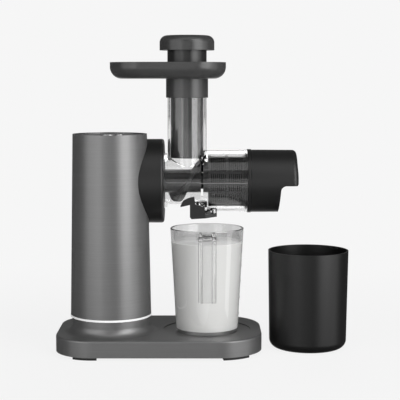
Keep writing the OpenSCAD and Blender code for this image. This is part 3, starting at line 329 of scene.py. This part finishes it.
# %% Dress the solids
by_slot = {
    "housing_grey": housing.material,
    "black_plastic": black,
    "gloss_black": gloss,
    "bright_trim": bright,
    "button_silver": silver,
    "rubber": rubber,
    "steel": steel,
    "motor_steel": motor_steel,
    "magnet": ferrite,
    "bronze": bronze.material,
    "gear_nylon": nylon,
    "cast_alloy": alloy,
    "circuit_board": board.material,
    "clear_plastic": chamber_plastic.material,
    "jug_clear": jug_plastic.material,
    "auger_black": auger_black,
    "filter_grey": filter_grey,
    "mesh_steel": mesh_steel.material,
    "stop_grey": stop_grey,
    "hopper_grey": hopper_grey,
    "pusher_grey": pusher_grey,
}
for part in frame["record"]["subparts"]:
    solid = nodes[part["node"]]
    solid.data.materials.clear()
    solid.data.materials.append(by_slot[part["material_slot"]])
nodes["pulp_cup"].data.materials[0] = cup_black
# The pusher's cap takes the lighter grey, and the stem keeps the darker copy, which paints its
# shade inside the chute.
nodes["pusher_cap"].data.materials[0] = hopper_grey
nodes["juicer_chamber"].visible_shadow = False
print("dressed", len(nodes), "solids")

# %% [markdown]
# ## New pieces
# Every new piece is drawn with bmesh, in metres and in place. The last steps are the same for all:
# clean the mesh, smooth it up to an angle, give it a finish, and let it ride on its body.

# %% Finish a piece


def finish_piece(mesh, name, material, body, *stands_for, smooth=math.radians(40), slot=None):
    """Cleans a bmesh, makes it an object in metres and lets it ride on a body."""
    bmesh.ops.remove_doubles(mesh, verts=mesh.verts, dist=1e-6)
    bmesh.ops.recalc_face_normals(mesh, faces=mesh.faces)
    data = bpy.data.meshes.new(name)
    mesh.to_mesh(data)
    mesh.free()
    data.polygons.foreach_set("use_smooth", [True] * len(data.polygons))
    data.set_sharp_from_angle(angle=smooth)
    data.materials.append(material)
    piece = bpy.data.objects.new(name, data)
    bpy.context.scene.collection.objects.link(piece)
    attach(piece, body)
    if stands_for:
        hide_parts(*stands_for)
    print(name, len(data.polygons), "faces")
    return piece


# %% [markdown]
# ## What the jug holds
# The jug stands filled with fresh nut milk. A liquid takes the shape of the inside of its vessel,
# so its outline is the jug's inner wall, turned about the jug's axis, with a level top that is
# painted paler and made to glow faintly: painted light for the top, which the chamber above shades.
# It wets the wall, so it reaches a hair into the plastic and leaves no film of air.

# %% Finish of the milk
# Height where the painted light on the milk's top begins.
PAINTED_LIGHT_START = 129.3  # height above the table
milk_finish = Finish("nut_milk", Subsurface_Weight=0.3)
milk_finish.set(Subsurface_Radius=(0.01, 0.01, 0.01), Subsurface_Scale=0.5)
swirl = milk_finish.noise(22, 3.0) * 0.3
# Above this height the milk is painted paler, and its emission makes it glow: painted light for the
# top that the chamber above shades.
painted_light_top = (milk_finish.axis("Z") > PAINTED_LIGHT_START * MM) * 0.7
milk_finish.set(
    Base_Color=milk_finish.between(swirl + painted_light_top, (0.74, 0.74, 0.73), (0.92, 0.92, 0.91)),
    Roughness=0.2 + swirl * 0.12,
    Emission_Color=milk_finish.between(painted_light_top, (0, 0, 0), (1, 1, 1)),
    Emission_Strength=0.26,
)

# %% Milk
JUG = (4.4, -7.0, 21.9)  # middle of the jug's foot
FOOT_RADIUS = 36.9
RIM_RADIUS = 43.7
JUG_HEIGHT = 123.8
MILK_LEVEL = 107.9  # above the jug's foot, as the next height is
MILK_BOTTOM = 3.96  # a hair into the jug's floor
MILK_INSET = 2.15  # the wall of 2.2, less the hair that the milk reaches into it
MILK_EDGE = (0.45, 0.3)  # the bevel of the milk's upper edge, across and down


def jug_radius(height, inset=0.0):
    """Outer radius of the jug's wall at a height above its foot, less an inset."""
    return FOOT_RADIUS + (RIM_RADIUS - FOOT_RADIUS) * height / JUG_HEIGHT - inset


milk_outline = [
    (0, MILK_BOTTOM),
    (jug_radius(MILK_BOTTOM, MILK_INSET), MILK_BOTTOM),
    (jug_radius(MILK_LEVEL, MILK_INSET), MILK_LEVEL - MILK_EDGE[1]),
    (jug_radius(MILK_LEVEL, MILK_INSET + MILK_EDGE[0]), MILK_LEVEL),
    (0, MILK_LEVEL),
]
milk = bmesh.new()
dots = [milk.verts.new((r * MM, 0, h * MM)) for r, h in milk_outline]
line = [milk.edges.new(pair) for pair in zip(dots, dots[1:])]
bmesh.ops.spin(
    milk, geom=dots + line, cent=(0, 0, 0), axis=(0, 0, 1), angle=math.tau, steps=128,
    use_merge=True,
)
bmesh.ops.remove_doubles(milk, verts=milk.verts, dist=1e-6)
bmesh.ops.translate(milk, verts=milk.verts, vec=Vector(JUG) * MM)
finish_piece(milk, "nut_milk", milk_finish.material, "jug")

# %% [markdown]
# ## Foot of the jug
# The jug rests on a narrow ring, and the rest of its underside is sunk by half a millimetre. A copy
# of the solid gets that recess: its flat bottom is made one face, which is inset and moved up.

# %% Jug with its foot ring
RING_WIDTH = 2.2
RECESS = 0.5
moulding = bmesh.new()
moulding.from_mesh(nodes["juice_jug"].data)
bmesh.ops.transform(moulding, matrix=nodes["juice_jug"].matrix_world, verts=moulding.verts)
bmesh.ops.remove_doubles(moulding, verts=moulding.verts, dist=1e-6)


def underside(mesh):
    """The faces that lie on the level of the jug's foot."""
    return [face for face in mesh.faces if face.calc_center_median().z < (JUG[2] + 0.01) * MM]


bmesh.ops.dissolve_faces(moulding, faces=underside(moulding), use_verts=False)
bottom = underside(moulding)
bmesh.ops.inset_region(moulding, faces=bottom, thickness=RING_WIDTH * MM, use_even_offset=True)
bmesh.ops.translate(moulding, verts=bottom[0].verts, vec=(0, 0, RECESS * MM))
print("bottom faces", len(bottom), "sides", len(bottom[0].verts))
jug = finish_piece(
    moulding, "jug_moulding", jug_plastic.material, "jug", "juice_jug",
    smooth=math.radians(32), slot="jug_clear",
)
jug.visible_shadow = False
even = jug.modifiers.new("even_normals", "WEIGHTED_NORMAL")
even.keep_sharp = True

# %% [markdown]
# ## Graduations on the jug
# The jug has short raised lines at its right side. Each one is a thin slab bent round the wall:
# a grid is wrapped by the angle of its columns, then given a thickness.

# %% Graduations
MARK_START, MARK_SPAN = 76, 18  # degrees round the jug, from its handle to the right
MARK_WIDTH, MARK_HEIGHT = 0.7, 0.35
marks = bmesh.new()
for height in (20.8, 40.1, 60.3, 78.5, 97.0):
    strip = bmesh.ops.create_grid(marks, x_segments=12, y_segments=1, size=0.5)["verts"]
    for dot in strip:
        angle = math.radians(MARK_START + (dot.co.x + 0.5) * MARK_SPAN)
        level = height + dot.co.y * MARK_WIDTH
        r = jug_radius(level, 0.02)
        across, forward = r * math.sin(angle), r * math.cos(angle)
        dot.co = Vector((JUG[0] + across, JUG[1] - forward, JUG[2] + level))
        dot.co *= MM
bmesh.ops.recalc_face_normals(marks, faces=marks.faces)
bmesh.ops.solidify(marks, geom=marks.faces[:], thickness=-MARK_HEIGHT * MM)
finish_piece(marks, "jug_graduations", stop_grey, "jug", slot="stop_grey")

# %% [markdown]
# ## Parting line of the chamber
# The chamber is moulded in two halves, and where they met the plastic has a hair-thin ridge. It
# shows as one light line along the middle. The ridge is a strip along the chamber's side, from the
# flange over the step to the wide end, and another one behind. Each strip is a line of points that
# is drawn upwards.

# %% Parting line
RIDGE_WIDTH = 0.6
RIDGE_HEIGHT = 0.2
NARROW, WIDE, RIM = 28.04, 36.54, 37.14  # a hair over the chamber's radii
STEP = -3.95  # X at which the chamber widens
ridge_path = [
    (-43.3, NARROW), (STEP, NARROW), (STEP, WIDE), (42.9, WIDE), (43.2, RIM), (52.0, RIM),
]
ridge_finish = moulded("frosted_ridge", 120, 134, 0.4, 900, 0.05)
ridge = bmesh.new()
for side in (-1, 1):
    dots = [
        ridge.verts.new(Vector((x, DRIVE[0] + side * r, DRIVE[1] - RIDGE_WIDTH / 2)) * MM)
        for x, r in ridge_path
    ]
    line = [ridge.edges.new(pair) for pair in zip(dots, dots[1:])]
    drawn = bmesh.ops.extrude_edge_only(ridge, edges=line)["geom"]
    drawn = [item for item in drawn if isinstance(item, bmesh.types.BMVert)]
    bmesh.ops.translate(ridge, verts=drawn, vec=(0, 0, RIDGE_WIDTH * MM))
bmesh.ops.recalc_face_normals(ridge, faces=ridge.faces)
bmesh.ops.solidify(ridge, geom=ridge.faces[:], thickness=RIDGE_HEIGHT * MM)
finish_piece(ridge, "chamber_parting_line", ridge_finish, "chamber", slot="clear_plastic")

# %% [markdown]
# ## Beads of the end cap
# The rim of the end cap has two fine polished beads, which catch the soft boxes as thin bright
# lines. Each is a small circle, spun round the drive axis.

# %% Beads
BEAD_RADIUS = 0.34
CAP_RADIUS = 38.02
beads = bmesh.new()
for place in (53.1, 56.5):
    circle = bmesh.ops.create_circle(beads, segments=12, radius=BEAD_RADIUS * MM)["verts"]
    bmesh.ops.rotate(beads, verts=circle, matrix=Matrix.Rotation(math.pi / 2, 3, "Y"))
    bmesh.ops.rotate(beads, verts=circle, matrix=Matrix.Rotation(math.pi / 2, 3, "Z"))
    middle = Vector((place, DRIVE[0] - CAP_RADIUS, DRIVE[1]))
    bmesh.ops.translate(beads, verts=circle, vec=middle * MM)
bmesh.ops.spin(
    beads, geom=beads.verts[:] + beads.edges[:], cent=Vector((0, DRIVE[0], DRIVE[1])) * MM,
    axis=(1, 0, 0), angle=math.tau, steps=120, use_merge=True,
)
finish_piece(beads, "end_cap_beads", gloss, "end_cap", slot="gloss_black")

# %% [markdown]
# ## Studio
# A pale floor and a pale room, two tall soft boxes at the sides of the camera, and four more in
# front, overhead, far right and behind. The room lights weakly, so that the soft boxes shape the
# round forms. Gloss and clear plastic see it white behind the machine and dark at its sides, which
# draws their outlines.

# %% Floor
PALE = 0.922  # the backdrop's white, as linear light
floor_mesh = bmesh.new()
bmesh.ops.create_grid(floor_mesh, x_segments=24, y_segments=24, size=6.0)
floor_data = bpy.data.meshes.new("studio_floor")
floor_mesh.to_mesh(floor_data)
floor_mesh.free()
floor = bpy.data.objects.new("studio_floor", floor_data)
bpy.context.scene.collection.objects.link(floor)
floor.visible_glossy = False
floor.visible_shadow = False
print(floor.name, len(floor_data.polygons), "faces")

# %% [markdown]
# ## Floor and backdrop in one
# The camera sees the floor as a glow in the backdrop's white, also through clear plastic, so that
# no horizon shows. Near the machine a little pale paint is mixed in, which takes its shadow. All
# other rays meet only the paint.

# %% Finish of the floor
pale = Finish("pale_floor", Base_Color=(0.9, 0.9, 0.9), Roughness=0.9)
paint = Value(pale, pale.shader.outputs[0])
glow = pale.add("ShaderNodeEmission", inputs={"Color": (PALE, PALE, PALE), "Strength": 1.0})
seen = pale.ray("Camera") + pale.ray("Transmission")
reach = pale.add("ShaderNodeVectorMath", {"operation": "LENGTH"}, {0: pale.place()}, output="Value")
fade = pale.soft_step(reach, 0.2, 0.7, 0.92, 1.0)
mixed = pale.add("ShaderNodeMixShader", inputs={0: seen * fade, 1: paint, 2: glow})
pale.connect(mixed, pale.tree.nodes["Material Output"].inputs["Surface"])
floor_data.materials.append(pale.material)
print("made", pale.material.name)

# %% [markdown]
# ## Room
# The camera sees the room white. In a mirror image it is white only low down behind the machine,
# and light that has passed clear plastic finds it white in a wide cone behind.

# %% Room
world = bpy.data.worlds.new("pale_room")
bpy.context.scene.world = world
world.use_nodes = True
room = Wiring(world.node_tree)


def toward(letter):
    """How far a ray goes towards X, Y or Z, from -1 to 1."""
    direction = room.add("ShaderNodeTexCoord", output="Generated")
    return room.add("ShaderNodeSeparateXYZ", inputs={0: direction}, output=letter)


def for_rays(kind, strength, otherwise):
    """One strength for one kind of ray, and another for all others."""
    return room.add(
        "ShaderNodeMapRange",
        inputs={"Value": room.ray(kind), "To Min": otherwise, "To Max": strength},
    )


behind = toward("Y") - toward("X").size() * 0.9
back_wall = room.soft_step(toward("Z"), -0.2, 0.05, PALE, 0.19)
mirrored = room.soft_step(behind, 0.55, 0.93, 0.07, back_wall)
through = room.soft_step(behind, 0.1, 0.75, 0.12, PALE)
strength = for_rays("Glossy", mirrored, 0.14)
strength = for_rays("Transmission", through, strength)
strength = for_rays("Camera", PALE, strength)
background = room.tree.nodes["Background"]
background.inputs["Color"].default_value = (1.0, 1.0, 1.0, 1.0)
room.connect(strength, background.inputs["Strength"])
print("room ready")

# %% [markdown]
# ## Lamps
# The soft boxes face a point in the middle of the machine. Azimuth 0 is the camera's side, and it
# grows to the right. Angles are in degrees, lengths in metres and powers in watts.

# %% Soft boxes
AIM = Vector((0, 0, 0.19))
SOFT_BOXES = (
    # name, azimuth, elevation, distance, width, height, power
    ("right_box", 47, 17, 1.6, 1.1, 1.8, 24),
    ("left_box", -48, 14, 1.7, 1.7, 1.8, 14),
    ("front_box", -14, -4, 2.2, 1.8, 1.4, 5),
    ("top_box", 10, 62, 1.5, 2.2, 0.9, 5),
    ("side_box", 78, 0, 1.9, 0.8, 1.4, 4.5),
    ("back_box", 180, 32, 2.2, 1.6, 1.2, 15),
)
for name, azimuth, elevation, distance, width, height, power in SOFT_BOXES:
    lamp = bpy.data.lights.new(name, "AREA")
    lamp.shape = "RECTANGLE"
    lamp.size, lamp.size_y = width, height
    lamp.energy = power
    stand = bpy.data.objects.new(name, lamp)
    a, e = math.radians(azimuth), math.radians(elevation)
    away = Vector((math.sin(a) * math.cos(e), -math.cos(a) * math.cos(e), math.sin(e)))
    stand.location = AIM + away * distance
    stand.rotation_mode = "QUATERNION"
    stand.rotation_quaternion = away.to_track_quat("Z", "Y")
    stand.visible_camera = False
    bpy.context.scene.collection.objects.link(stand)
bpy.data.objects["back_box"].visible_glossy = False
print(len(SOFT_BOXES), "soft boxes ready")
